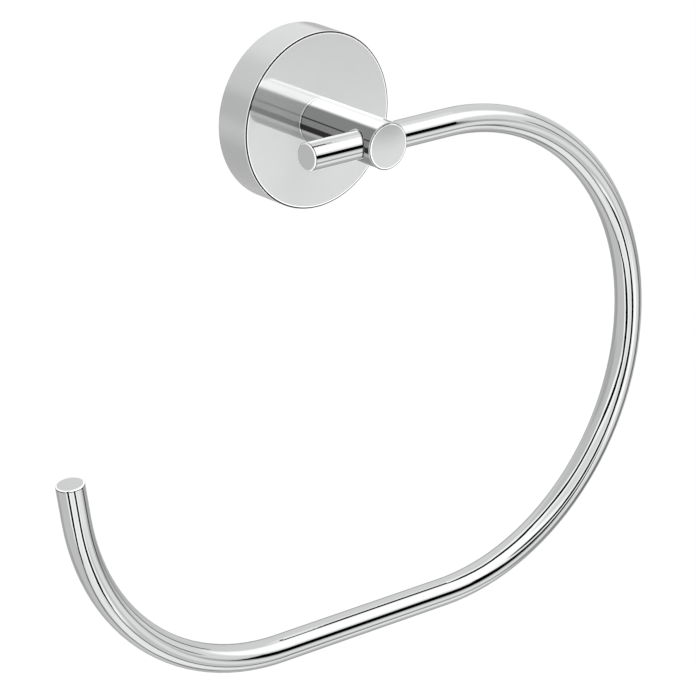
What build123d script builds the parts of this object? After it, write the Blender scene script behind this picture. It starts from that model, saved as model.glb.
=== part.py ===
from build123d import *

import os

# A wall-mounted open towel ring. The wall is the plane Y = 0, the ring stands out from it towards -Y,
# +X runs to the right along the wall and +Z is up. The origin is the rosette's centre on the wall.
# All lengths are in millimetres and all angles in degrees.

# Rosette: a round cup that covers the wall plate
rosette_diameter = 55.0
rosette_depth = 13.2
rosette_wall = 3.0
rosette_face = 3.0
rosette_inner_round = 1.0

# Post: a turned bar that stands on the rosette and carries the ring
post_diameter = 14.5
post_nose = 2.95
post_crown = 0.12
post_seat_break = 0.3
bore_mouth_round = 0.25
spigot_wall = 1.1
spigot_setback = 0.4

# Ring: one round bar, straight through the post, then bent round to a free end
bar_diameter = 8.7
bar_standoff = 39.2
stub_length = 25.2
lead_length = 28.8
right_bend_radius = 77.4
right_bend_angle = 180.0
bottom_length = 65.5
left_bend_radius = 74.4
left_bend_angle = 81.0
tip_length = 11.9

# Rounding of the front edges of the rosette, the post and both ends of the bar
edge_round = 0.5

# Wall plate: a grooved disc with two slots for wall screws
plate_thickness = 6.0
plate_edge_break = 0.4
groove_depth = 1.2
slot_width = 5.0
slot_length = 7.0
slot_margin = 4.25

# Post screw, its washer and the set screw that clamps the bar share one thread
thread_diameter = 5.0
thread_break = 0.5
screw_head_diameter = 8.5
screw_head_height = 3.0
screw_head_round = 0.6
screw_key = 3.0
screw_socket_depth = 1.8
screw_tip_gap = 2.0
washer_diameter = 10.0
washer_thickness = 1.0
bar_screw_length = 8.0
bar_screw_key = 2.5
bar_screw_socket_depth = 2.5

# Set screw under the rosette, with a cone point of 90 degrees
rim_screw_diameter = 4.0
rim_screw_recess = 0.4
rim_screw_tip = 1.0
rim_screw_key = 2.0
rim_screw_socket_depth = 1.4

# Clearances, each on the radius or between two faces
bar_fit = 0.05
spigot_fit = 0.05
thread_fit = 0.05
washer_fit = 0.15
plate_fit = 0.25
head_clearance = 2.0
contact_gap = 0.02

# Sizes that follow from the ones above
rosette_radius = rosette_diameter / 2
cup_radius = rosette_radius - rosette_wall
cup_depth = rosette_depth - rosette_face
post_radius = post_diameter / 2
bar_radius = bar_diameter / 2
post_reach = bar_standoff + bar_radius + post_nose
crown_radius = (post_radius**2 + post_crown**2) / (2 * post_crown)
thread_radius = thread_diameter / 2
tapped_radius = thread_radius + thread_fit
spigot_radius = tapped_radius + spigot_wall
spigot_end = cup_depth + spigot_setback
plate_radius = cup_radius - plate_fit
clamp_depth = plate_thickness / 2
head_seat = cup_depth - washer_thickness
bar_screw_tip = bar_standoff - bar_radius - contact_gap
bar_screw_back = bar_screw_tip - bar_screw_length
post_screw_tip = bar_screw_back - screw_tip_gap
rim_screw_radius = rim_screw_diameter / 2
rim_screw_apex = plate_radius - groove_depth + contact_gap
rim_screw_back = rosette_radius - rim_screw_recess
slot_spacing = 2 * (plate_radius - slot_margin - slot_length / 2)

os.makedirs("parts", exist_ok=True)

# Rosette: the cup's section turned about the wall's normal, with a seat for the post's spigot
with BuildPart() as rosette:
    with BuildSketch(Plane.XY) as cup_section:
        with BuildLine():
            Polyline(
                (spigot_radius + spigot_fit, -cup_depth),
                (spigot_radius + spigot_fit, -rosette_depth),
                (rosette_radius, -rosette_depth),
                (rosette_radius, 0),
                (cup_radius, 0),
                (cup_radius, -cup_depth),
                close=True,
            )
        make_face()
        corners = cup_section.vertices()
        fillet(corners.sort_by_distance((rosette_radius, -rosette_depth))[0], edge_round)
        fillet(corners.sort_by_distance((cup_radius, -cup_depth))[0], rosette_inner_round)
    revolve(axis=Axis.Y)
    # Tapped hole for the set screw, through the underside of the rim
    with BuildSketch(Plane.XY):
        with Locations((0, -clamp_depth)):
            Circle(rim_screw_radius + thread_fit)
    extrude(amount=-rosette_radius, mode=Mode.SUBTRACT)
rosette.part.label = "rosette"
export_step(rosette.part, "parts/rosette.step")

# Post: body and spigot turned as one, crowned in front, bored across for the bar and tapped from behind
with BuildPart() as post:
    with BuildSketch(Plane.XY) as post_section:
        with BuildLine():
            Polyline(
                (0, -spigot_end),
                (spigot_radius, -spigot_end),
                (spigot_radius, -rosette_depth),
                (post_radius, -rosette_depth),
                (post_radius, -post_reach),
                (0, -post_reach),
                close=True,
            )
        make_face()
        chamfer(post_section.vertices().sort_by_distance((post_radius, -rosette_depth))[0], post_seat_break)
    revolve(axis=Axis.Y)
    with Locations((0, crown_radius - post_reach, 0)):
        Sphere(crown_radius, mode=Mode.INTERSECT)
    fillet(post.edges().filter_by(GeomType.CIRCLE).sort_by(Axis.Y)[0], edge_round)
    with BuildSketch(Plane.YZ):
        with Locations((-bar_standoff, 0)):
            Circle(bar_radius + bar_fit)
    extrude(amount=post_radius, both=True, mode=Mode.SUBTRACT)
    bore_mouths = post.edges().filter_by(GeomType.BSPLINE)
    fillet(bore_mouths, bore_mouth_round)
    with BuildSketch(Plane.XZ.offset(spigot_end)):
        Circle(tapped_radius)
    extrude(amount=bar_standoff - spigot_end, mode=Mode.SUBTRACT)
post.part.label = "post"
export_step(post.part, "parts/post.step")

# Ring bar: a round section carried along straights and bends that all lie in one upright plane
with BuildPart() as ring_bar:
    with BuildLine(Plane.XZ.offset(bar_standoff)) as bar_line:
        lead = Line((-stub_length, 0), (lead_length, 0))
        right_bend = JernArc(lead @ 1, lead % 1, right_bend_radius, -right_bend_angle)
        bottom = Line(right_bend @ 1, right_bend @ 1 + bottom_length * (right_bend % 1))
        left_bend = JernArc(bottom @ 1, bottom % 1, left_bend_radius, -left_bend_angle)
        Line(left_bend @ 1, left_bend @ 1 + tip_length * (left_bend % 1))
    with BuildSketch(Plane(origin=lead @ 0, z_dir=lead % 0)):
        Circle(bar_radius)
    sweep(path=bar_line.line)
    ends = ring_bar.faces().filter_by(GeomType.PLANE)
    fillet(ends.edges(), edge_round)
ring_bar.part.label = "ring_bar"
export_step(ring_bar.part, "parts/ring_bar.step")

# Post screw: a socket-head machine screw, put in from inside the cup
with BuildPart() as post_screw:
    with BuildSketch(Plane.XZ.offset(head_seat - screw_head_height)):
        Circle(screw_head_diameter / 2)
    extrude(amount=screw_head_height)
    fillet(post_screw.edges().sort_by(Axis.Y)[-1], screw_head_round)
    with BuildSketch(Plane.XZ.offset(head_seat)):
        Circle(thread_radius)
    extrude(amount=post_screw_tip - head_seat)
    chamfer(post_screw.edges().sort_by(Axis.Y)[0], thread_break)
    with BuildSketch(Plane.XZ.offset(head_seat - screw_head_height)):
        RegularPolygon(screw_key / 2, 6, major_radius=False)
    extrude(amount=screw_socket_depth, mode=Mode.SUBTRACT)
post_screw.part.label = "post_screw"
export_step(post_screw.part, "parts/post_screw.step")

# Post washer: a plain washer between the screw's head and the cup's inner face
with BuildPart() as post_washer:
    with BuildSketch(Plane.XZ.offset(head_seat)):
        Circle(washer_diameter / 2)
        Circle(thread_radius + washer_fit, mode=Mode.SUBTRACT)
    extrude(amount=washer_thickness)
post_washer.part.label = "post_washer"
export_step(post_washer.part, "parts/post_washer.step")

# Bar set screw: a headless socket screw in the post, its flat point against the bar
with BuildPart() as bar_set_screw:
    with BuildSketch(Plane.XZ.offset(bar_screw_back)):
        Circle(thread_radius)
    extrude(amount=bar_screw_length)
    chamfer(bar_set_screw.edges().filter_by(GeomType.CIRCLE), thread_break)
    with BuildSketch(Plane.XZ.offset(bar_screw_back)):
        RegularPolygon(bar_screw_key / 2, 6, major_radius=False)
    extrude(amount=bar_screw_socket_depth, mode=Mode.SUBTRACT)
bar_set_screw.part.label = "bar_set_screw"
export_step(bar_set_screw.part, "parts/bar_set_screw.step")

# Wall plate: a disc with a V-groove round its rim, room for the post screw's head and two slots
with BuildPart() as wall_plate:
    with BuildSketch(Plane.XZ):
        Circle(plate_radius)
        Circle(screw_head_diameter / 2 + head_clearance, mode=Mode.SUBTRACT)
        with GridLocations(slot_spacing, 0, 2, 1):
            SlotOverall(slot_length, slot_width, mode=Mode.SUBTRACT)
    extrude(amount=plate_thickness)
    front_rim = wall_plate.edges().filter_by(GeomType.CIRCLE).group_by(Axis.Y)[0].sort_by(SortBy.RADIUS)[-1]
    chamfer(front_rim, plate_edge_break)
    with BuildSketch(Plane.XY) as groove_section:
        with BuildLine():
            Polyline(
                (plate_radius, -clamp_depth - groove_depth),
                (plate_radius - groove_depth, -clamp_depth),
                (plate_radius, -clamp_depth + groove_depth),
                close=True,
            )
        make_face()
    revolve(axis=Axis.Y, mode=Mode.SUBTRACT)
wall_plate.part.label = "wall_plate"
export_step(wall_plate.part, "parts/wall_plate.step")

# Rosette set screw: a headless socket screw whose cone point sits in the wall plate's groove
with BuildPart() as rosette_set_screw:
    with BuildSketch(Plane.XZ.offset(clamp_depth)):
        with BuildLine():
            Polyline(
                (0, -rim_screw_apex - rim_screw_tip / 2),
                (rim_screw_tip / 2, -rim_screw_apex - rim_screw_tip / 2),
                (rim_screw_radius, -rim_screw_apex - rim_screw_radius),
                (rim_screw_radius, -rim_screw_back),
                (0, -rim_screw_back),
                close=True,
            )
        make_face()
    revolve(axis=Axis((0, -clamp_depth, 0), (0, 0, 1)))
    with BuildSketch(Plane.XY.offset(-rim_screw_back)):
        with Locations((0, -clamp_depth)):
            RegularPolygon(rim_screw_key / 2, 6, major_radius=False)
    extrude(amount=rim_screw_socket_depth, mode=Mode.SUBTRACT)
rosette_set_screw.part.label = "rosette_set_screw"
export_step(rosette_set_screw.part, "parts/rosette_set_screw.step")
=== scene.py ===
"""Looks of the wall-mounted towel ring: finishes, cut threads, the studio round it and the camera."""

import logging
import math
from dataclasses import dataclass, field
from enum import Enum

import bpy
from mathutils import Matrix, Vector

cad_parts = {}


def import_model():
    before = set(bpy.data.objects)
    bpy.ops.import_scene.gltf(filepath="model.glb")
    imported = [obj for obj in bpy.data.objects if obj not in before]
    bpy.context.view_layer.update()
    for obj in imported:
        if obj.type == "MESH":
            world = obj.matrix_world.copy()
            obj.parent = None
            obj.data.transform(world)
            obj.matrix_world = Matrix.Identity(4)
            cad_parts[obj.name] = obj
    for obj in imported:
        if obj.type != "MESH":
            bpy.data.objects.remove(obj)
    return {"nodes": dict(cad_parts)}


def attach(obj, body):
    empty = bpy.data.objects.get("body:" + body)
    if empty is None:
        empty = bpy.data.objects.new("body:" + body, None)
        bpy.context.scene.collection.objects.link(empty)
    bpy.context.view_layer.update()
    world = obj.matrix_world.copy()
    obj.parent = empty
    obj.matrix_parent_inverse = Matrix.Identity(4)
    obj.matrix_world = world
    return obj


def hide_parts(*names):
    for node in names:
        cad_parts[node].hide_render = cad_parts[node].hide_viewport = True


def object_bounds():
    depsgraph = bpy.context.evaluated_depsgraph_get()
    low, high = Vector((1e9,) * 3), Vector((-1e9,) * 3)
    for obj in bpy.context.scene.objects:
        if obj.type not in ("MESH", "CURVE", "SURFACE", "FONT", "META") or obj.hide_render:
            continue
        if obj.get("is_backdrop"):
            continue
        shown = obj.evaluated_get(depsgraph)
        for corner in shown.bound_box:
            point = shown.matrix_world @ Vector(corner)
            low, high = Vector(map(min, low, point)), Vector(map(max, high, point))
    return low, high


LOG = logging.getLogger("towel_ring")
BODY = "root"
FLOAT = "NodeSocketFloat"
VECTOR = "NodeSocketVector"
MILLIMETRE = 0.001
HALF_TURN = 180.0

# Distances in millimetres: between points that are one, across slivers, and of a point from a cutting plane
SAME_POINT = 0.0005
SLIVER = 0.002
ON_PLANE = 0.00001

# Depth of a metric thread over its pitch, and what a trimming blank has to spare beside the thread
THREAD_DEPTH = 0.6134
TRIM_SPARE = 0.1

# Sides of a socket, and the angle in degrees up to which neighbouring faces are smooth
KEY_SIDES = 6
SMOOTH_ANGLE = 25.0

# Glossy depth up to which a ray comes from a first reflection, and above which from a later one
FIRST_REFLECTION = 1.5

Colour = tuple[float, float, float]
Place = tuple[float, float, float]
Angles = tuple[float, float]
Outline = tuple[tuple[float, float], ...]
Piece = bpy.types.Object
Nodes = dict[str, Piece]
Material = bpy.types.Material
Socket = bpy.types.NodeSocket
Sockets = bpy.types.bpy_prop_collection

ORIGIN: Place = (0.0, 0.0, 0.0)
WHITE = (1.0, 1.0, 1.0, 1.0)


class Cut(Enum):
    """Ways of combining a piece with a tool object."""

    JOIN = "UNION"
    TAKE_AWAY = "DIFFERENCE"
    KEEP_COMMON = "INTERSECT"


class NodeSheet:
    """A node tree with short calls that add and join its nodes."""

    def __init__(self, tree: bpy.types.NodeTree) -> None:
        """Keeps the tree and empties it."""
        self.tree = tree
        self.tree.nodes.clear()

    def add(self, kind: str, options: dict | None = None, **sockets: object) -> bpy.types.Node:
        """Adds one node.

        Args:
            kind: The node's type name.
            options: Properties set on the node itself.
            sockets: Inputs by name, with underscores for spaces, or by number as i0, i1 and so on.
                A socket given as a value is joined to the input, and anything else is its default.

        Returns:
            The new node.
        """
        node = self.tree.nodes.new(kind)
        for name, value in (options or {}).items():
            setattr(node, name, value)
        for name, value in sockets.items():
            numbered = name[0] == "i" and name[1:].isdigit()
            target = node.inputs[int(name[1:]) if numbered else name.replace("_", " ")]
            if isinstance(value, Socket):
                self.tree.links.new(value, target)
            else:
                target.default_value = value
        return node

    def place(self, group: "GroupSheet", label: str = "", **sockets: object) -> Sockets:
        """Places a node group and returns its outputs."""
        return self.add("ShaderNodeGroup", {"node_tree": group.tree, "label": label}, **sockets).outputs

    def math(self, operation: str, *values: object) -> Socket:
        """Adds a Math node over one to three values and returns its result."""
        sockets = {f"i{number}": value for number, value in enumerate(values)}
        return self.add("ShaderNodeMath", {"operation": operation}, **sockets).outputs[0]

    def vector(self, operation: str, *values: object) -> Sockets:
        """Adds a Vector Math node over its values and returns its outputs."""
        sockets = {f"i{number}": value for number, value in enumerate(values)}
        return self.add("ShaderNodeVectorMath", {"operation": operation}, **sockets).outputs

    def fade(self, value: Socket, low: object, high: object, start: float, end: float) -> Socket:
        """Maps a value smoothly from start at low to end at high.

        Args:
            value: The value to map.
            low: Where the change begins.
            high: Where the change ends.
            start: Result at and below low.
            end: Result at and above high.

        Returns:
            The mapped value.
        """
        node = self.add(
            "ShaderNodeMapRange",
            {"interpolation_type": "SMOOTHSTEP"},
            Value=value,
            From_Min=low,
            From_Max=high,
            To_Min=start,
            To_Max=end,
        )
        return node.outputs["Result"]

    def mix(self, factor: Socket, first: Colour | Socket, second: Colour) -> Socket:
        """Mixes two colours by a factor.

        Args:
            factor: Share of the second colour.
            first: The first colour, or a socket that gives it.
            second: The second colour.

        Returns:
            The mixed colour.
        """
        base = first if isinstance(first, Socket) else (*first, 1.0)
        node = self.add("ShaderNodeMix", {"data_type": "RGBA"}, i0=factor, i6=base, i7=(*second, 1.0))
        return node.outputs[2]

    def coat(
        self, colour: Socket, roughness: Socket, height: Socket, depth: float, metallic: object = 1.0
    ) -> None:
        """Adds a bumped metal shader and the output that shows it.

        Args:
            colour: The metal's colour.
            roughness: The metal's roughness.
            height: Height of the bumps, from 0 to 1.
            depth: Depth of the bumps in metres.
            metallic: Share of metal, as a value or a socket.
        """
        bump = self.add("ShaderNodeBump", Distance=depth, Height=height)
        shader = self.add(
            "ShaderNodeBsdfPrincipled",
            Base_Color=colour,
            Metallic=metallic,
            Roughness=roughness,
            Normal=bump.outputs[0],
        )
        self.add("ShaderNodeOutputMaterial", Surface=shader.outputs[0])

    def show(self, closure: Socket, other: Socket, share: Socket) -> None:
        """Adds the output of a material that mixes two shaders.

        Args:
            closure: The first shader.
            other: The second shader.
            share: Share of the second shader.
        """
        shown = self.add("ShaderNodeMixShader", i0=share, i1=closure, i2=other).outputs[0]
        self.add("ShaderNodeOutputMaterial", Surface=shown)

    def show_unless(self, hidden: Socket, closure: Socket) -> None:
        """Adds the output of a material that is clear where it is hidden."""
        self.show(closure, self.add("ShaderNodeBsdfTransparent").outputs[0], hidden)


class GroupSheet(NodeSheet):
    """A shader node group with named inputs and outputs."""

    def __init__(self, name: str, inputs: dict[str, str], outputs: dict[str, str]) -> None:
        """Makes the group with its sockets.

        Args:
            name: The group's name.
            inputs: Socket kind of each input, by name.
            outputs: Socket kind of each output, by name.
        """
        super().__init__(bpy.data.node_groups.new(name, "ShaderNodeTree"))
        for title, kind in inputs.items():
            self.tree.interface.new_socket(title, in_out="INPUT", socket_type=kind)
        for title, kind in outputs.items():
            self.tree.interface.new_socket(title, in_out="OUTPUT", socket_type=kind)
        self.inlet = self.add("NodeGroupInput").outputs
        self.outlet = self.add("NodeGroupOutput").inputs

    def give(self, title: str, value: Socket) -> None:
        """Joins a value to one of the group's outputs."""
        self.tree.links.new(value, self.outlet[title])


class SurfaceHaze(GroupSheet):
    """Uneven haze that polishing or casting leaves, as a share and as a height."""

    BROAD_DETAIL = 4.0
    FINE_DETAIL = 2.0
    CLEAR = 0.3
    HAZY = 0.7

    def __init__(self) -> None:
        """Builds the group: a broad noise, with a fine one over it."""
        super().__init__("surface_haze", {"Broad": FLOAT, "Fine": FLOAT}, {"Share": FLOAT, "Height": FLOAT})
        place = self.add("ShaderNodeTexCoord").outputs["Object"]
        broad, fine = (
            self.add("ShaderNodeTexNoise", Vector=place, Scale=scale, Detail=detail).outputs[0]
            for scale, detail in (
                (self.inlet["Broad"], self.BROAD_DETAIL),
                (self.inlet["Fine"], self.FINE_DETAIL),
            )
        )
        self.give("Share", self.fade(broad, self.CLEAR, self.HAZY, 0.0, 1.0))
        self.give("Height", self.math("MULTIPLY", broad, fine))


class EdgeRun(GroupSheet):
    """Distance across the rounded edge of a turned end, over the size of its rounding."""

    # What is added away from the edge, and the distance over the rounding at which that begins
    FAR = 1000.0
    NEAR = 1.05

    def __init__(self) -> None:
        """Builds the group: 0 in the middle of the rounding, negative towards the end face."""
        kinds = {"Centre": VECTOR, "Axis": VECTOR, "Reach": FLOAT, "Radius": FLOAT, "Rounding": FLOAT}
        super().__init__("edge_run", kinds, {"Across": FLOAT})
        inlet = self.inlet
        place = self.add("ShaderNodeTexCoord").outputs["Object"]
        offset = self.vector("SUBTRACT", place, inlet["Centre"])[0]
        along = self.vector("DOT_PRODUCT", offset, inlet["Axis"])["Value"]
        radial = self.vector("LENGTH", self.vector("CROSS_PRODUCT", offset, inlet["Axis"])[0])["Value"]
        scaled = []
        for measure, limit in ((along, inlet["Reach"]), (radial, inlet["Radius"])):
            inside = self.math("SUBTRACT", measure, limit)
            scaled.append(self.math("ADD", self.math("DIVIDE", inside, inlet["Rounding"]), 1.0))
        ahead, beside = scaled
        turn = self.math("ARCTAN2", self.math("MAXIMUM", beside, 0.0), self.math("MAXIMUM", ahead, 0.0))
        across = self.math("SUBTRACT", turn, math.pi / 4)
        across = self.math("ADD", across, self.math("MINIMUM", beside, 0.0))
        across = self.math("SUBTRACT", across, self.math("MINIMUM", ahead, 0.0))
        for distance in scaled:
            away = self.math("GREATER_THAN", self.math("ABSOLUTE", distance), self.NEAR)
            across = self.math("MULTIPLY_ADD", away, self.FAR, across)
        self.give("Across", across)


class PaintedContactShadow(GroupSheet):
    """Painted contact shadow where a piece enters a round one, by the distance from that one's axis."""

    def __init__(self) -> None:
        """Builds the group: 1 at the round piece's surface, 0 at the painted shadow's outer end."""
        super().__init__("painted_contact_shadow", {"Axis": VECTOR, "Radius": FLOAT, "Width": FLOAT}, {"Share": FLOAT})
        place = self.add("ShaderNodeTexCoord").outputs["Object"]
        radial = self.vector("LENGTH", self.vector("CROSS_PRODUCT", place, self.inlet["Axis"])[0])["Value"]
        end = self.math("ADD", self.inlet["Radius"], self.inlet["Width"])
        self.give("Share", self.fade(radial, self.inlet["Radius"], end, 1.0, 0.0))


class TurningMarks(GroupSheet):
    """Fine rings that a lathe leaves round one axis."""

    DETAIL = 2.0
    GROOVE = 0.35
    RIDGE = 0.65

    def __init__(self) -> None:
        """Builds the group from noise that is stretched round the axis."""
        super().__init__("turning_marks", {"Squeeze": VECTOR}, {"Share": FLOAT})
        place = self.add("ShaderNodeTexCoord").outputs["Object"]
        squeezed = self.vector("MULTIPLY", place, self.inlet["Squeeze"])[0]
        noise = self.add("ShaderNodeTexNoise", Vector=squeezed, Scale=1.0, Detail=self.DETAIL).outputs[0]
        self.give("Share", self.fade(noise, self.GROOVE, self.RIDGE, 0.0, 1.0))


@dataclass(frozen=True)
class Effects:
    """The shader node groups that the finishes share."""

    haze: SurfaceHaze = field(default_factory=SurfaceHaze)
    edge_run: EdgeRun = field(default_factory=EdgeRun)
    contact_shadow: PaintedContactShadow = field(default_factory=PaintedContactShadow)
    turning: TurningMarks = field(default_factory=TurningMarks)


@dataclass(frozen=True)
class PaintedEdgeLine:
    """A painted highlight or painted shade line along an edge, between two distances across its rounding."""

    start: float
    end: float
    colour: Colour
    softness: float = 0.12


# Colours painted into the chrome: a painted highlight for bright edge lines, and painted shade for dark edge
# lines and the contact shadow
PAINTED_HIGHLIGHT: Colour = (0.95, 0.95, 0.95)
PAINTED_SHADE: Colour = (0.02, 0.02, 0.02)


@dataclass(frozen=True)
class RoundEdge:
    """The rounded edge between the end face and the side of a turned piece, in millimetres, with the painted
    highlight and painted shade lines on it.
    """

    centre: Place
    axis: Place
    reach: float
    radius: float
    rounding: float
    lines: tuple[PaintedEdgeLine, ...]


@dataclass(frozen=True)
class ContactShadow:
    """Where a piece enters a round one whose axis runs through the origin, and the painted contact shadow
    there, in millimetres.
    """

    axis: Place
    radius: float
    width: float


def new_material(name: str) -> tuple[Material, NodeSheet]:
    """Makes a material.

    Args:
        name: The material's name.

    Returns:
        The material and its empty node sheet.
    """
    material = bpy.data.materials.new(name)
    material.use_nodes = True
    return material, NodeSheet(material.node_tree)


@dataclass(frozen=True)
class PolishedChrome:
    """Bright chrome plate, with a faint haze left by the last buffing."""

    name: str = "polished_chrome_plate"
    bright: Colour = (0.502, 0.509, 0.507)
    dull: Colour = (0.488, 0.495, 0.493)
    metallic: float = 1.0
    mirror_roughness: float = 0.012
    haze_roughness: float = 0.03
    haze_scale: float = 70.0
    fine_scale: float = 900.0
    peel_depth: float = 0.000004

    def material(
        self, effects: Effects, edges: tuple[RoundEdge, ...] = (), contacts: tuple[ContactShadow, ...] = ()
    ) -> Material:
        """Builds the chrome's node material.

        Args:
            effects: The shared node groups.
            edges: The rounded edges that carry painted highlight and painted shade lines.
            contacts: The places where the piece enters another one, each darkened by a painted contact
                shadow.

        Returns:
            The material.
        """
        material, sheet = new_material(self.name)
        haze = sheet.place(effects.haze, Broad=self.haze_scale, Fine=self.fine_scale)
        colour = sheet.mix(haze["Share"], self.bright, self.dull)
        roughness = sheet.fade(haze["Share"], 0.0, 1.0, self.mirror_roughness, self.haze_roughness)
        metallic = self.metallic
        for edge in edges:
            across = sheet.place(
                effects.edge_run,
                Centre=tuple(MILLIMETRE * value for value in edge.centre),
                Axis=edge.axis,
                Reach=MILLIMETRE * edge.reach,
                Radius=MILLIMETRE * edge.radius,
                Rounding=MILLIMETRE * edge.rounding,
            )["Across"]
            # Painted highlight and painted shade lines across the rounding, mixed into the colour
            for line in edge.lines:
                begun = sheet.fade(across, line.start - line.softness, line.start + line.softness, 0.0, 1.0)
                going = sheet.fade(across, line.end - line.softness, line.end + line.softness, 1.0, 0.0)
                share = sheet.math("MULTIPLY", begun, going)
                colour = sheet.mix(share, colour, line.colour)
                if self.metallic < 1.0:
                    metallic = sheet.math("MAXIMUM", metallic, share)
        # Painted contact shadow: the colour darkens towards where the piece enters the round one
        for contact_shadow in contacts:
            share = sheet.place(
                effects.contact_shadow,
                Axis=contact_shadow.axis,
                Radius=MILLIMETRE * contact_shadow.radius,
                Width=MILLIMETRE * contact_shadow.width,
            )["Share"]
            colour = sheet.mix(share, colour, PAINTED_SHADE)
        sheet.coat(colour, roughness, haze["Height"], self.peel_depth, metallic)
        return material


@dataclass(frozen=True)
class CastZinc:
    """Bare die-cast zinc: dull grey, mottled and slightly pitted."""

    name: str = "die_cast_zinc"
    light: Colour = (0.52, 0.53, 0.54)
    dark: Colour = (0.40, 0.41, 0.42)
    smooth: float = 0.38
    rough: float = 0.56
    mottle_scale: float = 320.0
    grain_scale: float = 2600.0
    grain_depth: float = 0.00006

    def material(self, effects: Effects) -> Material:
        """Builds the zinc's node material.

        Args:
            effects: The shared node groups.

        Returns:
            The material.
        """
        material, sheet = new_material(self.name)
        haze = sheet.place(effects.haze, Broad=self.mottle_scale, Fine=self.grain_scale)
        colour = sheet.mix(haze["Share"], self.light, self.dark)
        roughness = sheet.fade(haze["Share"], 0.0, 1.0, self.smooth, self.rough)
        sheet.coat(colour, roughness, haze["Height"], self.grain_depth)
        return material


@dataclass(frozen=True)
class TurnedSteel:
    """Plain stainless steel with the fine rings of the lathe."""

    name: str
    squeeze: Place
    light: Colour = (0.60, 0.59, 0.57)
    dark: Colour = (0.47, 0.46, 0.44)
    smooth: float = 0.22
    rough: float = 0.42
    haze_scale: float = 500.0
    fine_scale: float = 3000.0
    ring_depth: float = 0.000004

    def material(self, effects: Effects) -> Material:
        """Builds the steel's node material.

        Args:
            effects: The shared node groups.

        Returns:
            The material.
        """
        material, sheet = new_material(self.name)
        haze = sheet.place(effects.haze, Broad=self.haze_scale, Fine=self.fine_scale)
        rings = sheet.place(effects.turning, Squeeze=self.squeeze)["Share"]
        colour = sheet.mix(haze["Share"], self.light, self.dark)
        roughness = sheet.fade(rings, 0.0, 1.0, self.smooth, self.rough)
        sheet.coat(colour, roughness, rings, self.ring_depth)
        return material


def dress(node: Piece, material: Material) -> None:
    """Gives a CAD node its finish and leaves its mirror image to the studio's own mirrors.

    Args:
        node: The CAD node.
        material: Its finish.
    """
    for place in node.material_slots:
        place.material = material
    node.visible_glossy = False
    LOG.info("%s dressed in %s", node.name, material.name)


def start_mesh() -> None:
    """Leaves nothing selected, so that operators act on the next mesh alone."""
    if bpy.context.object is not None and bpy.context.object.mode != "OBJECT":
        bpy.ops.object.mode_set(mode="OBJECT")
    bpy.ops.object.select_all(action="DESELECT")


def only(piece: Piece) -> None:
    """Selects one object alone and makes it the active one."""
    start_mesh()
    piece.select_set(True)
    bpy.context.view_layer.objects.active = piece


def leave_closed() -> None:
    """Turns all faces of the mesh outwards and leaves edit mode."""
    bpy.ops.mesh.select_all(action="SELECT")
    bpy.ops.mesh.normals_make_consistent(inside=False)
    bpy.ops.object.mode_set(mode="OBJECT")


def drawn_line(name: str, outline: Outline) -> Piece:
    """Draws an open line in the XZ plane, one extruded vertex after another.

    Args:
        name: The object's name.
        outline: Distance from the axis and height of each point.

    Returns:
        The line's object, still in edit mode with all selected.
    """
    start_mesh()
    bpy.ops.mesh.primitive_plane_add(size=1.0)
    piece = bpy.context.object
    piece.name = name
    bpy.ops.object.mode_set(mode="EDIT")
    bpy.ops.mesh.select_all(action="SELECT")
    bpy.ops.mesh.merge(type="CENTER")
    bpy.ops.transform.translate(value=(outline[0][0], 0.0, outline[0][1]))
    for (radius, height), (next_radius, next_height) in zip(outline, outline[1:]):
        move = (next_radius - radius, 0.0, next_height - height)
        bpy.ops.mesh.extrude_vertices_move(TRANSFORM_OT_translate={"value": move})
    bpy.ops.mesh.select_all(action="SELECT")
    return piece


def spun_blank(name: str, outline: Outline, steps: int = 96) -> Piece:
    """Spins an outline into a closed turned blank.

    Args:
        name: The object's name.
        outline: Distance from the axis and height of each point, from the axis and back to it.
        steps: Number of steps round the axis.

    Returns:
        The blank, in object mode.
    """
    blank = drawn_line(name, outline)
    bpy.ops.mesh.spin(steps=steps, angle=2 * math.pi, center=ORIGIN, axis=(0.0, 0.0, 1.0))
    bpy.ops.mesh.select_all(action="SELECT")
    bpy.ops.mesh.remove_doubles(threshold=SAME_POINT)
    leave_closed()
    return blank


def combine(piece: Piece, tool: Piece, cut: Cut) -> None:
    """Joins or cuts a piece with a tool object, and removes the tool.

    Args:
        piece: The object that is changed.
        tool: The object that it is combined with.
        cut: How the two are combined.
    """
    only(piece)
    bpy.ops.object.modifier_add(type="BOOLEAN")
    modifier = piece.modifiers[-1]
    modifier.operation = cut.value
    modifier.solver = "EXACT"
    modifier.object = tool
    bpy.ops.object.modifier_apply(modifier=modifier.name)
    bpy.data.objects.remove(tool)


def clear_slivers(piece: Piece) -> None:
    """Merges the slivers that cutting leaves on a piece.

    Args:
        piece: The object that was cut.
    """
    only(piece)
    bpy.ops.object.mode_set(mode="EDIT")
    bpy.ops.mesh.select_all(action="SELECT")
    bpy.ops.mesh.quads_convert_to_tris(quad_method="BEAUTY", ngon_method="BEAUTY")
    bpy.ops.mesh.remove_doubles(threshold=SLIVER)
    bpy.ops.mesh.dissolve_degenerate(threshold=SLIVER)
    leave_closed()


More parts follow.
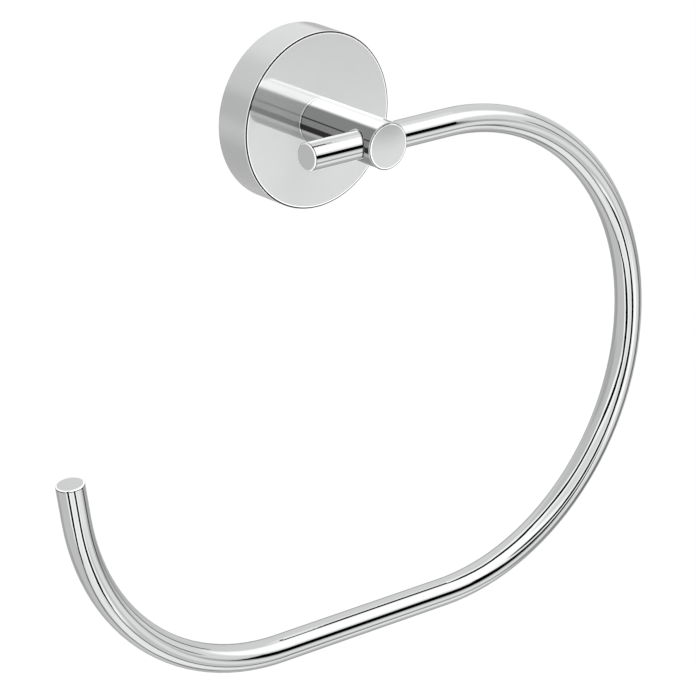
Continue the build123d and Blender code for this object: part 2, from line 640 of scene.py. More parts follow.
@dataclass(frozen=True)
class CutScrew:
    """A socket screw with a cut metric thread, in millimetres from its socket end along its own axis."""

    node: str
    place: Place
    tilt: float
    length: float
    thread_radius: float
    pitch: float
    key: float
    socket_depth: float
    trim: Outline
    thread_start: float = 0.0
    head: Outline = ()
    steps: int = 48
    spare_turns: int = 2

    def thread(self) -> Piece:
        """Winds the thread's profile up past both ends, then cuts it off there.

        Returns:
            The closed threaded rod, in object mode.
        """
        # A root of a quarter of the pitch, a crest of an eighth, and two equal flanks between them
        root = self.thread_radius - THREAD_DEPTH * self.pitch
        crest = self.thread_radius
        flank = 5 * self.pitch / 16
        low = self.thread_start - self.spare_turns * self.pitch
        heights = (0.0, self.pitch / 4, self.pitch / 4 + flank, 3 * self.pitch / 8 + flank, self.pitch)
        profile = tuple((r, low + z) for r, z in zip((root, root, crest, crest, root), heights))
        rod = drawn_line(f"{self.node}_threaded", profile)
        bpy.ops.object.mode_set(mode="OBJECT")
        bpy.ops.object.modifier_add(type="SCREW")
        winding = rod.modifiers[-1]
        winding.axis = "Z"
        winding.screw_offset = self.pitch
        turns = math.ceil((self.length - self.thread_start) / self.pitch)
        winding.iterations = turns + 2 * self.spare_turns
        winding.steps = winding.render_steps = self.steps
        bpy.ops.object.modifier_apply(modifier=winding.name)
        bpy.ops.object.mode_set(mode="EDIT")
        bpy.ops.mesh.select_all(action="SELECT")
        bpy.ops.mesh.remove_doubles(threshold=SAME_POINT)
        for height, up in ((self.thread_start, -1.0), (self.length, 1.0)):
            bpy.ops.mesh.select_all(action="SELECT")
            bpy.ops.mesh.bisect(
                plane_co=(0.0, 0.0, height),
                plane_no=(0.0, 0.0, up),
                use_fill=True,
                clear_outer=True,
                threshold=ON_PLANE,
            )
        leave_closed()
        return rod

    def build(self, material: Material) -> None:
        """Cuts the screw and puts it where its CAD node is.

        Args:
            material: The screw's finish.
        """
        screw = self.thread()
        combine(screw, spun_blank("trim", self.trim), Cut.KEEP_COMMON)
        if self.head:
            combine(screw, spun_blank("head", self.head), Cut.JOIN)
        start_mesh()
        corner = self.key / math.sqrt(3)
        depth = 2 * self.socket_depth
        bpy.ops.mesh.primitive_cylinder_add(vertices=KEY_SIDES, radius=corner, depth=depth)
        combine(screw, bpy.context.object, Cut.TAKE_AWAY)
        clear_slivers(screw)
        only(screw)
        screw.scale = (MILLIMETRE, MILLIMETRE, MILLIMETRE)
        screw.rotation_euler = (math.radians(self.tilt), 0.0, 0.0)
        screw.location = tuple(MILLIMETRE * value for value in self.place)
        bpy.ops.object.transform_apply(location=True, rotation=True, scale=True)
        bpy.ops.object.shade_smooth_by_angle(angle=math.radians(SMOOTH_ANGLE))
        screw.data.materials.clear()
        screw.data.materials.append(material)
        screw.visible_glossy = False
        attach(screw, BODY)
        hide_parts(self.node)
        LOG.info("%s cut, %d faces", screw.name, len(screw.data.polygons))


@dataclass
class WallMount:
    """The rosette, the wall plate inside it and the set screw that holds the two together."""

    rosette_radius: float = 27.5
    rosette_depth: float = 13.2
    edge_round: float = 0.5
    clamp_depth: float = 3.0
    screw_radius: float = 2.0
    screw_back: float = 27.1
    screw_length: float = 3.53
    screw_tip: float = 0.5
    screw_key: float = 2.0
    socket_depth: float = 1.4
    pitch: float = 0.7

    def edges(self) -> tuple[RoundEdge, ...]:
        """Gives the rosette's front edge, a painted shade line between two painted highlight lines.

        Returns:
            The one edge.
        """
        # Painted highlight lines on either side of a painted shade line on the rosette's front edge
        lines = (
            PaintedEdgeLine(-1.4, -0.8, PAINTED_HIGHLIGHT),
            PaintedEdgeLine(0.2, 0.8, PAINTED_HIGHLIGHT),
            PaintedEdgeLine(-0.85, 0.2, PAINTED_SHADE),
        )
        axis = (0.0, -1.0, 0.0)
        return (RoundEdge(ORIGIN, axis, self.rosette_depth, self.rosette_radius, self.edge_round, lines),)

    def set_screw(self) -> CutScrew:
        """Describes the set screw with its cone point, which stands upright under the rim.

        Returns:
            The screw.
        """
        cone = self.screw_radius - self.screw_tip
        wide = self.screw_radius + TRIM_SPARE
        trim = (
            (0.0, 0.0),
            (wide, 0.0),
            (wide, self.screw_length - cone - TRIM_SPARE),
            (self.screw_tip, self.screw_length),
            (0.0, self.screw_length),
        )
        return CutScrew(
            node="rosette_set_screw",
            place=(0.0, -self.clamp_depth, -self.screw_back),
            tilt=0.0,
            length=self.screw_length,
            thread_radius=self.screw_radius,
            pitch=self.pitch,
            key=self.screw_key,
            socket_depth=self.socket_depth,
            trim=trim,
        )

    def build(self, nodes: Nodes, effects: Effects) -> None:
        """Dresses the rosette and the wall plate and cuts the set screw.

        Args:
            nodes: The CAD nodes by name.
            effects: The shared node groups.
        """
        satin = PolishedChrome(
            name="satin_chrome_plate",
            bright=(0.576, 0.583, 0.581),
            dull=(0.562, 0.569, 0.567),
            metallic=0.66,
            mirror_roughness=0.06,
            haze_roughness=0.08,
        )
        dress(nodes["rosette"], satin.material(effects, self.edges()))
        dress(nodes["wall_plate"], CastZinc().material(effects))
        steel = TurnedSteel(name="steel_of_rosette_screw", squeeze=(400.0, 400.0, 9000.0))
        self.set_screw().build(steel.material(effects))


@dataclass
class PostGroup:
    """The post with the screw and washer that hold it and the set screw that clamps the bar in it."""

    post_radius: float = 7.25
    post_reach: float = 46.5
    seat: float = 13.2
    edge_round: float = 0.5
    thread_radius: float = 2.5
    thread_break: float = 0.5
    pitch: float = 0.8
    head_back: float = 6.2
    head_radius: float = 4.25
    head_height: float = 3.0
    head_round: float = 0.6
    head_overlap: float = 1.0
    round_steps: int = 6
    post_screw_length: float = 18.63
    post_screw_key: float = 3.0
    post_socket_depth: float = 1.8
    bar_screw_back: float = 26.83
    bar_screw_length: float = 8.0
    bar_screw_key: float = 2.5
    bar_socket_depth: float = 2.5

    def edges(self) -> tuple[RoundEdge, ...]:
        """Gives the post's front edge and the edge of its foot.

        Returns:
            Both edges.
        """
        # Painted highlight and painted shade lines on the post's front edge and at its foot
        front = (PaintedEdgeLine(-1.2, -0.35, PAINTED_HIGHLIGHT), PaintedEdgeLine(-0.35, 0.15, PAINTED_SHADE))
        foot = (PaintedEdgeLine(0.2, 1.15, PAINTED_HIGHLIGHT), PaintedEdgeLine(1.15, 1.75, PAINTED_SHADE))
        ends = (((0.0, -1.0, 0.0), self.post_reach, front), ((0.0, 1.0, 0.0), -self.seat, foot))
        return tuple(
            RoundEdge(ORIGIN, axis, reach, self.post_radius, self.edge_round, lines)
            for axis, reach, lines in ends
        )

    def tip_trim(self, length: float, start: float) -> Outline:
        """Gives the outline that breaks a thread's edge at its tip, and at its start where that is 0.

        Args:
            length: Length of the screw.
            start: Height of the outline's lower end.

        Returns:
            The outline of the trimming blank.
        """
        wide = self.thread_radius + TRIM_SPARE
        narrow = self.thread_radius - self.thread_break
        first = narrow if start == 0.0 else wide
        slope = self.thread_break + TRIM_SPARE
        return (
            (0.0, start),
            (first, start),
            (wide, start + slope),
            (wide, length - slope),
            (narrow, length),
            (0.0, length),
        )

    def post_screw(self) -> CutScrew:
        """Describes the socket-head screw that draws the post on to the rosette.

        Returns:
            The screw.
        """
        rim, top = self.head_radius, self.head_round
        turns = (math.radians(90 * step / self.round_steps) for step in range(self.round_steps + 1))
        corner = tuple((rim - top * (1 - math.sin(turn)), top * (1 - math.cos(turn))) for turn in turns)
        head = ((0.0, 0.0), *corner, (rim, self.head_height), (0.0, self.head_height))
        inside = self.head_height - self.head_overlap
        return CutScrew(
            node="post_screw",
            place=(0.0, -self.head_back, 0.0),
            tilt=90.0,
            length=self.post_screw_length,
            thread_radius=self.thread_radius,
            pitch=self.pitch,
            key=self.post_screw_key,
            socket_depth=self.post_socket_depth,
            trim=self.tip_trim(self.post_screw_length, inside),
            thread_start=inside,
            head=head,
        )

    def bar_set_screw(self) -> CutScrew:
        """Describes the headless screw that presses on the bar."""
        return CutScrew(
            node="bar_set_screw",
            place=(0.0, -self.bar_screw_back, 0.0),
            tilt=90.0,
            length=self.bar_screw_length,
            thread_radius=self.thread_radius,
            pitch=self.pitch,
            key=self.bar_screw_key,
            socket_depth=self.bar_socket_depth,
            trim=self.tip_trim(self.bar_screw_length, 0.0),
        )

    def build(self, nodes: Nodes, effects: Effects) -> None:
        """Dresses the post and its washer and cuts both screws.

        Args:
            nodes: The CAD nodes by name.
            effects: The shared node groups.
        """
        dress(nodes["post"], PolishedChrome(name="post_chrome_plate").material(effects, self.edges()))
        steel = TurnedSteel(name="steel_of_post_screws", squeeze=(400.0, 9000.0, 400.0)).material(effects)
        dress(nodes["post_washer"], steel)
        self.post_screw().build(steel)
        self.bar_set_screw().build(steel)


@dataclass
class RingBar:
    """The bent bar, with a stub end beside the post and a free tip."""

    radius: float = 4.35
    standoff: float = 39.2
    edge_round: float = 0.5
    stub_length: float = 25.2
    tip_root: tuple[float, float] = (-110.184, -92.0387)
    tip_length: float = 11.9
    tip_lean: float = 9.0
    post_radius: float = 7.25
    # Width of the painted contact shadow where the bar enters the post
    contact_shadow_width: float = 0.6

    def edges(self) -> tuple[RoundEdge, ...]:
        """Gives the edges of the stub end and of the tip.

        Returns:
            Both edges.
        """
        # Painted highlight and painted shade lines on the stub end and the tip
        lines = (PaintedEdgeLine(-0.75, 0.3, PAINTED_HIGHLIGHT), PaintedEdgeLine(0.3, 0.8, PAINTED_SHADE))
        lean = math.radians(self.tip_lean)
        tip_axis = (-math.sin(lean), 0.0, math.cos(lean))
        ends = (
            ((0.0, 0.0), (-1.0, 0.0, 0.0), self.stub_length),
            (self.tip_root, tip_axis, self.tip_length),
        )
        return tuple(
            RoundEdge((across, -self.standoff, height), axis, reach, self.radius, self.edge_round, lines)
            for (across, height), axis, reach in ends
        )

    def build(self, nodes: Nodes, effects: Effects) -> None:
        """Dresses the bar, with a painted contact shadow where it enters the post.

        Args:
            nodes: The CAD nodes by name.
            effects: The shared node groups.
        """
        # Painted contact shadow on the bar round the post's axis
        contact_shadow = ContactShadow((0.0, 1.0, 0.0), self.post_radius, self.contact_shadow_width)
        dress(nodes["ring_bar"], PolishedChrome().material(effects, self.edges(), (contact_shadow,)))


def direction_to(longitude: float, latitude: float) -> Vector:
    """Gives the unit direction at an angle round the object.

    Args:
        longitude: Degrees from straight in front of the wall, positive to the right.
        latitude: Degrees above the horizon.

    Returns:
        The direction in the shared frame.
    """
    turn, rise = math.radians(longitude), math.radians(latitude)
    return Vector((math.sin(turn) * math.cos(rise), -math.cos(turn) * math.cos(rise), math.sin(rise)))


@dataclass(frozen=True)
class Panel:
    """A soft-edged panel of the studio, in degrees round the object."""

    name: str
    longitude: float
    latitude: float
    half_width: float
    half_height: float
    softness: float
    brightness: float


@dataclass(frozen=True)
class Strip:
    """A long card of the studio, laid along a chain of directions."""

    name: str
    points: tuple[Angles, ...]
    half_width: float
    softness: float
    brightness: float


class PanelMask(GroupSheet):
    """The mask of one soft-edged panel."""

    def __init__(self) -> None:
        """Builds the group over longitude and latitude."""
        names = ("Longitude", "Latitude", "Centre Longitude", "Centre Latitude")
        sizes = ("Half Width", "Half Height", "Softness")
        super().__init__("studio_panel", dict.fromkeys(names + sizes, FLOAT), {"Mask": FLOAT})
        inlet = self.inlet
        offset = self.math("SUBTRACT", inlet["Longitude"], inlet["Centre Longitude"])
        across = self.math("ABSOLUTE", self.math("WRAP", offset, HALF_TURN, -HALF_TURN))
        up = self.math("ABSOLUTE", self.math("SUBTRACT", inlet["Latitude"], inlet["Centre Latitude"]))
        masks = []
        for distance, half in ((across, inlet["Half Width"]), (up, inlet["Half Height"])):
            inner = self.math("SUBTRACT", half, inlet["Softness"])
            outer = self.math("ADD", half, inlet["Softness"])
            masks.append(self.fade(distance, inner, outer, 1.0, 0.0))
        self.give("Mask", self.math("MULTIPLY", *masks))


class StripMask(GroupSheet):
    """The mask of one run of a strip, round at both ends."""

    def __init__(self) -> None:
        """Builds the group over the distance to the nearest point of the run."""
        kinds = dict.fromkeys(("Direction", "Start", "Span", "Share"), VECTOR)
        kinds |= dict.fromkeys(("Half Width", "Softness"), FLOAT)
        super().__init__("studio_strip", kinds, {"Mask": FLOAT})
        inlet = self.inlet
        offset = self.vector("SUBTRACT", inlet["Direction"], inlet["Start"])[0]
        along = self.vector("DOT_PRODUCT", offset, inlet["Share"])["Value"]
        along = self.add("ShaderNodeClamp", Value=along).outputs[0]
        nearest = self.vector("MULTIPLY_ADD", inlet["Span"], along, inlet["Start"])[0]
        nearest = self.vector("NORMALIZE", nearest)[0]
        distance = self.vector("DISTANCE", inlet["Direction"], nearest)["Value"]
        inner = self.math("SUBTRACT", inlet["Half Width"], inlet["Softness"])
        outer = self.math("ADD", inlet["Half Width"], inlet["Softness"])
        self.give("Mask", self.fade(distance, inner, outer, 1.0, 0.0))


@dataclass
class Studio:
    """White surroundings, floor, key lamp, reflected cards and camera, in metres and degrees."""

    # Floor, lamp and plain surroundings
    floor_drop: float = 0.30
    floor_half: float = 8.0
    floor_paint: Colour = (0.9, 0.9, 0.9)
    floor_white: float = 1.03
    floor_white_share: float = 0.9
    plain_light: float = 0.75
    key_power: float = 14.0
    key_size: float = 1.2
    key_distance: float = 1.6
    key_angles: Angles = (35.0, 55.0)
    wall_brightness: float = 1.0

    # Mirrors for close reflections: a card on the rosette's face and a double of the post
    card_inner: float = 0.0073
    card_outer: float = 0.0413
    card_depth: float = 0.01321
    card_right: float = 0.028
    card_shade: float = 0.505
    card_steps: int = 128
    double_shade: float = 0.42
    double_radius: float = 0.0072
    double_start: float = 0.0132
    double_end: float = 0.0382
    double_steps: int = 256
    mirror_roughness: float = 0.03
    mirror_range: float = 0.06

    # Pale cards for flat faces that are looked at from other sides
    fill_steps: int = 64
    fill_distance: float = 0.3
    fill_depth: float = 0.045
    fill_spread: float = 28.0
    fill_softness: float = 3.0
    fill_low: float = 1.05
    fill_high: float = 1.5
    front_fill_angles: Angles = (0.0, 0.0)
    low_fill_angles: Angles = (0.0, -20.0)
    front_fill_radius: float = 0.052
    left_fill_angles: Angles = (-52.0, -15.0)
    left_fill_radius: float = 0.09

    # Camera
    azimuth: float = -39.2009
    elevation: float = 20.8076
    distance: float = 1.10596
    aim: Place = (-0.00955, -0.0392, -0.0633)
    lens: float = 190.417
    clip_start: float = 0.05
    clip_end: float = 50.0

    def panels(self) -> tuple[Panel, ...]:
        """Lists the broad panels, each laid over the ones before it."""
        return (
            Panel("right wall", 115, 25, 60, 32, 14, 1.06),
            Panel("upper right wall", 125, 48, 65, 24, 14, 1.22),
            Panel("upper right glow", 98, 64, 18, 12, 8, 1.75),
            Panel("low right wall", 120, -30, 62, 26, 10, 0.74),
            Panel("low wall behind", 178, -30, 38, 24, 8, 0.66),
            Panel("wall seen at the outline", 147, -12, 18, 20, 6, 0.55),
            Panel("low wall at the outline", 133, -38, 13, 12, 6, 0.5),
            Panel("left wall behind", -142, 4, 22, 12, 7, 0.76),
            Panel("ceiling behind", 180, 80, 95, 10, 6, 1.8),
            Panel("front left wall", -30, 10, 28, 60, 8, 1.34),
            Panel("key softbox", 35, 46, 40, 30, 9, 2.1),
            Panel("top softbox", 5, 70, 55, 9, 5, 2.1),
            Panel("right wing", 60, 4, 22, 12, 8, 1.32),
            Panel("floor", 8, -74, 70, 19, 6, 1.57),
            Panel("floor corner", 118, -68, 22, 10, 8, 0.76),
            Panel("floor left", -33, -45, 20, 16, 6, 1.55),
            Panel("floor right", 30, -43, 26, 12, 6, 1.05),
            Panel("floor wing", 66, -47, 14, 7, 5, 1.5),
            Panel("low fill", 21, -17, 14, 8, 4, 2.0),
            Panel("front glow", 41, -24, 11, 10, 4, 1.4),
            Panel("front shade", 37, -10, 6.5, 6, 3, 0.75),
            Panel("square flag", 28.5, -0.1, 11.3, 9.9, 0.8, 0.0),
            Panel("top of square flag", 25, 9, 7.5, 5, 0.8, 0.0),
        )

    def strips(self) -> tuple[Strip, ...]:
        """Lists the pale borders, the seams and the dark flags, laid over the panels.

        Returns:
            The strips, each laid over the ones before it.
        """
        left = ((-55, -28), (-54, -23), (-50, -16), (-47, -4))
        middle_left = ((-47, -4), (-49, 4), (-58, 15), (-67, 25), (-69, 35))
        upper_left = ((-69, 35), (-67.5, 55), (-75, 65), (-77, 76))
        foot = ((0, -36), (-2, -28), (-4, -23))
        front = ((-4, -23), (-2, -14), (-5, -5), (1, 3), (7, 9))
        upper_front = ((7, 9), (12, 15), (15, 21))
        floor = ((-54, -38), (-60, -48), (-75, -60), (-95, -72), (-120, -82), (135, -83))
        far_floor = ((135, -83), (115, -74), (110, -64))
        front_seam = ((0, -38), (-2, -44), (3, -52.5), (40, -52.5), (49, -46), (50, -38))
        right_seam = ((52, 1), (53, -5), (57, -12), (67, -16), (72, -20))
        low_seam = ((72, -20), (76, -26), (75, -32), (70, -37))
        wall_seam = ((86, 22), (85, 15), (83, 4), (84, -6))
        overhead_point = ((83, 54.1), (90, 54.4), (97, 54.1))
        return (
            Strip("left border", (*left, *middle_left[1:], *upper_left[1:]), 17, 4, 1.85),
            Strip("front border", (*foot, *front[1:], *upper_front[1:]), 14, 4, 1.85),
            Strip("floor seam", floor, 2.6, 0.6, 0.25),
            Strip("far floor seam", far_floor, 2.6, 0.6, 0.2),
            Strip("end of far floor seam", ((110, -64), (112, -52)), 2.6, 1.0, 0.5),
            Strip("front seam", front_seam, 2.5, 0.6, 0.3),
            Strip("right seam", right_seam, 2.5, 0.6, 0.35),
            Strip("low shade", ((62, -33), (76, -34), (92, -37)), 7, 5, 0.45),
            Strip("low seam", low_seam, 5.0, 2.5, 0.1),
            Strip("end of low seam", ((70, -37), (60, -38), (48, -37)), 3, 1.5, 0.6),
            Strip("wall seam", wall_seam, 2.7, 0.6, 0.25),
            Strip("end of wall seam", ((84, -6), (90, -13), (102, -18)), 2.6, 0.8, 0.5),
            Strip("left flag", left, 8.0, 0.7, 0.0),
            Strip("foot of left flag", ((-55, -28), (-55, -36)), 6.3, 0.7, 0.0),
            Strip("tip of left flag", ((-55, -37), (-58, -46)), 4.0, 0.7, 0.0),
            Strip("middle of left flag", middle_left, 6.0, 0.7, 0.0),
            Strip("upper left flag", upper_left, 7.2, 0.7, 0.0),
            Strip("foot of front flag", foot, 5.8, 0.7, 0.0),
            Strip("tip of front flag", ((0, -36), (-1, -44)), 4.2, 0.7, 0.0),
            Strip("front flag", front, 7.8, 0.7, 0.0),
            Strip("upper front flag", upper_front, 6.2, 0.7, 0.0),
            Strip("overhead flag", ((-75, 81), (-10, 84), (55, 81)), 7.6, 1.0, 0.0),
            Strip("end of overhead flag", ((58, 79), (68, 69), (81, 60.8)), 6.4, 0.9, 0.0),
            Strip("point of overhead flag", overhead_point, 1.15, 0.12, 0.0),
        )

    def deep_strips(self) -> tuple[Strip, ...]:
        """Lists the flags that only a reflection of a reflection shows, as on the post."""
        return (
            Strip("post key", ((30, 30), (2, 44)), 14, 5, 4.1),
            Strip("post top", ((40, 20), (40, -24)), 9, 4, 3.2),
            Strip("upper post shade", ((-20, 44), (-44, 14)), 12, 6, 0.85),
            Strip("post line", ((-38, 12), (-48, 12)), 2.5, 1.5, 0.1),
            Strip("lower post shade", ((-46, 2), (-44, -12)), 9, 4, 0.8),
            Strip("post band", ((-34, -18), (-44, -22)), 10, 2.5, 0.1),
            Strip("foot post shade", ((-14, -46), (34, -36)), 10, 6, 0.9),
        )

    def reflected_light(self, sheet: NodeSheet, depth: Socket) -> Socket:
        """Lays the panels and strips over the plain wall.

        Args:
            sheet: The world's node sheet.
            depth: Number of reflections that a ray has made.

        Returns:
            The brightness of the studio in each direction.
        """
        direction = sheet.add("ShaderNodeTexCoord").outputs["Generated"]
        axes = sheet.add("ShaderNodeSeparateXYZ", Vector=direction).outputs
        ahead = sheet.math("MULTIPLY", axes["Y"], -1.0)
        longitude = sheet.math("DEGREES", sheet.math("ARCTAN2", axes["X"], ahead))
        latitude = sheet.math("DEGREES", sheet.math("ARCSINE", axes["Z"]))
        light = self.wall_brightness
        panel_mask, strip_mask = PanelMask(), StripMask()
        for panel in self.panels():
            mask = sheet.place(
                panel_mask,
                panel.name,
                Longitude=longitude,
                Latitude=latitude,
                Centre_Longitude=panel.longitude,
                Centre_Latitude=panel.latitude,
                Half_Width=panel.half_width,
                Half_Height=panel.half_height,
                Softness=panel.softness,
            )["Mask"]
            light = self.laid_over(sheet, light, mask, panel.brightness)
        for strip in self.strips():
            mask = self.along(sheet, strip_mask, direction, strip)
            light = self.laid_over(sheet, light, mask, strip.brightness)
        deep = sheet.math("GREATER_THAN", depth, FIRST_REFLECTION)
        for strip in self.deep_strips():
            mask = sheet.math("MULTIPLY", self.along(sheet, strip_mask, direction, strip), deep)
            light = self.laid_over(sheet, light, mask, strip.brightness)
        return light

    @staticmethod
    def along(sheet: NodeSheet, group: StripMask, direction: Socket, strip: Strip) -> Socket:
        """Masks all runs of one strip.

        Args:
            sheet: The world's node sheet.
            group: The group that masks one run.
            direction: The direction that is looked up.
            strip: The strip.

        Returns:
            The strip's mask.
        """
        masks = []
        for start, end in zip(strip.points, strip.points[1:]):
            span = direction_to(*end) - direction_to(*start)
            run = sheet.place(
                group,
                strip.name,
                Direction=direction,
                Start=direction_to(*start),
                Span=span,
                Share=span / span.length_squared,
                Half_Width=math.radians(strip.half_width),
                Softness=math.radians(strip.softness),
            )
            masks.append(run["Mask"])
        mask = masks[0]
        for other in masks[1:]:
            mask = sheet.math("MAXIMUM", mask, other)
        return mask

    @staticmethod
    def laid_over(sheet: NodeSheet, light: object, mask: Socket, brightness: float) -> Socket:
        """Lays one card over the light so far and returns the new light."""
        node = sheet.add("ShaderNodeMix", {"data_type": "FLOAT"}, i0=mask, i2=light, i3=brightness)
        return node.outputs[0]

    def build_world(self) -> None:
        """Makes a world that is plain light, white to the camera and a studio in reflections."""
        world = bpy.data.worlds.new("studio")
        world.use_nodes = True
        sheet = NodeSheet(world.node_tree)
        rays = sheet.add("ShaderNodeLightPath").outputs
        strengths = (self.plain_light, self.reflected_light(sheet, rays["Glossy Depth"]), 1.0)
        shown, reflected, backdrop = (
            sheet.add("ShaderNodeBackground", Color=WHITE, Strength=value).outputs[0]
            for value in strengths
        )
        for kind, light in (("Is Glossy Ray", reflected), ("Is Camera Ray", backdrop)):
            shown = sheet.add("ShaderNodeMixShader", i0=rays[kind], i1=shown, i2=light).outputs[0]
        sheet.add("ShaderNodeOutputWorld", Surface=shown)
        bpy.context.scene.world = world

    def build_floor(self, lowest: float) -> None:
        """Lays a pale floor below the object.

        Args:
            lowest: Height of the object's lowest point.
        """
        start_mesh()
        height = lowest - self.floor_drop
        bpy.ops.mesh.primitive_plane_add(size=2 * self.floor_half, location=(0.0, 0.0, height))
        floor = bpy.context.object
        floor.name = "floor"
        floor.visible_glossy = False
        material, sheet = new_material("pale_floor")
        rays = sheet.add("ShaderNodeLightPath").outputs
        paint = sheet.add("ShaderNodeBsdfDiffuse", Color=(*self.floor_paint, 1.0)).outputs[0]
        glow = sheet.add("ShaderNodeEmission", Color=WHITE, Strength=self.floor_white).outputs[0]
        sheet.show(paint, glow, sheet.math("MULTIPLY", rays["Is Camera Ray"], self.floor_white_share))
        floor.data.materials.append(material)
        floor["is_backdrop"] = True

    @staticmethod
    def only_reflected(card: Piece) -> None:
        """Marks a stage card that reflections alone see.

        Args:
            card: The card.
        """
        card.visible_camera = False
        card.visible_diffuse = False
        card.visible_shadow = False
        card.visible_transmission = False
        card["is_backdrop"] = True

    def near_mirror(self, name: str, shade: float) -> Material:
        """Makes a mirror that only reflections from close by and in front of it see.

        Args:
            name: The material's name.
            shade: The share of light that it reflects.

        Returns:
            The material.
        """
        material, sheet = new_material(name)
        colour = (shade, shade, shade, 1.0)
        mirror = sheet.add("ShaderNodeBsdfPrincipled", Base_Color=colour, Metallic=1.0)
        mirror.inputs["Roughness"].default_value = self.mirror_roughness
        behind = sheet.add("ShaderNodeNewGeometry").outputs["Backfacing"]
        length = sheet.add("ShaderNodeLightPath").outputs["Ray Length"]
        hidden = sheet.math("MAXIMUM", behind, sheet.math("GREATER_THAN", length, self.mirror_range))
        sheet.show_unless(hidden, mirror.outputs[0])
        return material

    def build_mirror_card(self, material: Material) -> None:
        """Lays a mirror card on the rosette's face, for the post to reflect.

        Args:
            material: The card's mirror.
        """
        start_mesh()
        centre = (0.0, -self.card_depth, 0.0)
        bpy.ops.mesh.primitive_circle_add(vertices=self.card_steps, radius=self.card_inner, location=centre)
        card = bpy.context.object
        card.name = "mirror_card"
        card.rotation_euler = (math.pi / 2, 0.0, 0.0)
        bpy.ops.object.mode_set(mode="EDIT")
        bpy.ops.mesh.select_all(action="SELECT")
        bpy.ops.mesh.extrude_edges_move()
        growth = self.card_outer / self.card_inner
        bpy.ops.transform.resize(value=(growth, growth, growth))
        bpy.ops.mesh.select_all(action="SELECT")
        right_end = (self.card_right, 0.0, 0.0)
        bpy.ops.mesh.bisect(plane_co=right_end, plane_no=(1.0, 0.0, 0.0), clear_outer=True)
        bpy.ops.mesh.select_all(action="SELECT")
        bpy.ops.mesh.normals_make_consistent(inside=False)
        bpy.ops.mesh.flip_normals()
        bpy.ops.object.mode_set(mode="OBJECT")
        card.data.materials.append(material)
        self.only_reflected(card)

    def build_post_double(self, material: Material) -> None:
        """Stands a copy of the post's plain length in its place, for the rosette's face to reflect.

        Args:
            material: The copy's mirror.
        """
        start_mesh()
        bpy.ops.mesh.primitive_cylinder_add(
            vertices=self.double_steps,
            radius=self.double_radius,
            depth=self.double_end - self.double_start,
            end_fill_type="NOTHING",
            location=(0.0, -(self.double_start + self.double_end) / 2, 0.0),
        )
        double = bpy.context.object
        double.name = "post_double"
        double.rotation_euler = (math.pi / 2, 0.0, 0.0)
        bpy.ops.object.shade_smooth()
        double.data.materials.append(material)
        self.only_reflected(double)

    def pale_fill(self) -> Material:
        """Makes a pale glow that only a first reflection near its own axis sees, brighter towards its foot.

        Returns:
            The material.
        """
        material, sheet = new_material("pale_fill")
        place = sheet.add("ShaderNodeTexCoord").outputs["Object"]
        height = sheet.add("ShaderNodeSeparateXYZ", Vector=place).outputs["Y"]
        reach = self.left_fill_radius
        strength = sheet.fade(height, -reach, reach, self.fill_high, self.fill_low)
        glow = sheet.add("ShaderNodeEmission", Color=WHITE, Strength=strength).outputs[0]
        facing = sheet.add("ShaderNodeLayerWeight").outputs["Facing"]
        limits = (self.fill_spread - self.fill_softness, self.fill_spread)
        inner, outer = (1.0 - math.cos(math.radians(limit)) for limit in limits)
        aside = sheet.fade(facing, inner, outer, 0.0, 1.0)
        behind = sheet.add("ShaderNodeNewGeometry").outputs["Backfacing"]
        rays = sheet.add("ShaderNodeLightPath").outputs
        deep = sheet.math("GREATER_THAN", rays["Glossy Depth"], FIRST_REFLECTION)
        near = sheet.math("COMPARE", rays["Ray Length"], self.fill_distance, self.fill_depth)
        hidden = sheet.math("SUBTRACT", 1.0, near)
        for reason in (aside, behind, deep):
            hidden = sheet.math("MAXIMUM", hidden, reason)
        sheet.show_unless(hidden, glow)
        return material

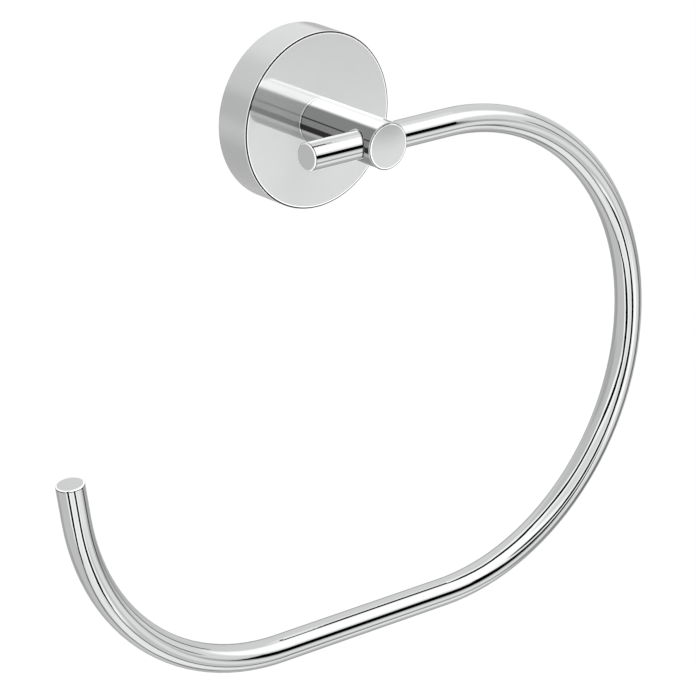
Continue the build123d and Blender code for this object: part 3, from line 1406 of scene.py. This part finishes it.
    def build_fill_card(self, name: str, angles: Angles, radius: float, material: Material) -> None:
        """Hangs a pale card before the wall mount, for flat faces that look straight at it.

        Args:
            name: The card's name.
            angles: The direction in which it hangs.
            radius: The card's radius.
            material: The card's glow.
        """
        start_mesh()
        bpy.ops.mesh.primitive_circle_add(vertices=self.fill_steps, radius=radius, fill_type="NGON")
        card = bpy.context.object
        card.name = name
        towards = direction_to(*angles)
        card.location = Vector((0.0, -self.card_depth, 0.0)) + towards * self.fill_distance
        card.rotation_euler = (-towards).to_track_quat("Z", "Y").to_euler()
        card.data.materials.append(material)
        self.only_reflected(card)

    def build_key(self) -> None:
        """Hangs a broad key lamp above and in front of the object."""
        data = bpy.data.lights.new("key_lamp", "AREA")
        data.shape = "DISK"
        data.size = self.key_size
        data.energy = self.key_power
        lamp = bpy.data.objects.new("key_lamp", data)
        bpy.context.scene.collection.objects.link(lamp)
        lamp.location = direction_to(*self.key_angles) * self.key_distance
        lamp.rotation_euler = (-lamp.location).to_track_quat("-Z", "Y").to_euler()
        lamp.visible_camera = False
        lamp.visible_glossy = False

    def build_camera(self) -> None:
        """Sets up the camera at the photograph's viewing angle."""
        data = bpy.data.cameras.new("photo_camera")
        data.lens = self.lens
        data.clip_start = self.clip_start
        data.clip_end = self.clip_end
        camera = bpy.data.objects.new("photo_camera", data)
        bpy.context.scene.collection.objects.link(camera)
        back = direction_to(self.azimuth, self.elevation)
        camera.location = Vector(self.aim) + back * self.distance
        camera.rotation_euler = (math.radians(90 - self.elevation), 0.0, math.radians(self.azimuth))
        bpy.context.scene.camera = camera

    def build(self, lowest: float) -> None:
        """Builds the whole studio.

        Args:
            lowest: Height of the object's lowest point.
        """
        self.build_world()
        self.build_floor(lowest)
        self.build_mirror_card(self.near_mirror("card_mirror", self.card_shade))
        self.build_post_double(self.near_mirror("double_mirror", self.double_shade))
        fill = self.pale_fill()
        self.build_fill_card("front_fill", self.front_fill_angles, self.front_fill_radius, fill)
        self.build_fill_card("low_fill", self.low_fill_angles, self.front_fill_radius, fill)
        self.build_fill_card("left_fill", self.left_fill_angles, self.left_fill_radius, fill)
        self.build_key()
        self.build_camera()
        bpy.context.scene.view_settings.view_transform = "Standard"


def main() -> None:
    """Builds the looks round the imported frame."""
    logging.basicConfig(level=logging.INFO)
    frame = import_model()
    cad_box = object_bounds()
    effects = Effects()
    for assembly in (WallMount(), PostGroup(), RingBar()):
        assembly.build(frame["nodes"], effects)
    Studio().build(cad_box[0].z)


if __name__ == "__main__":
    main()
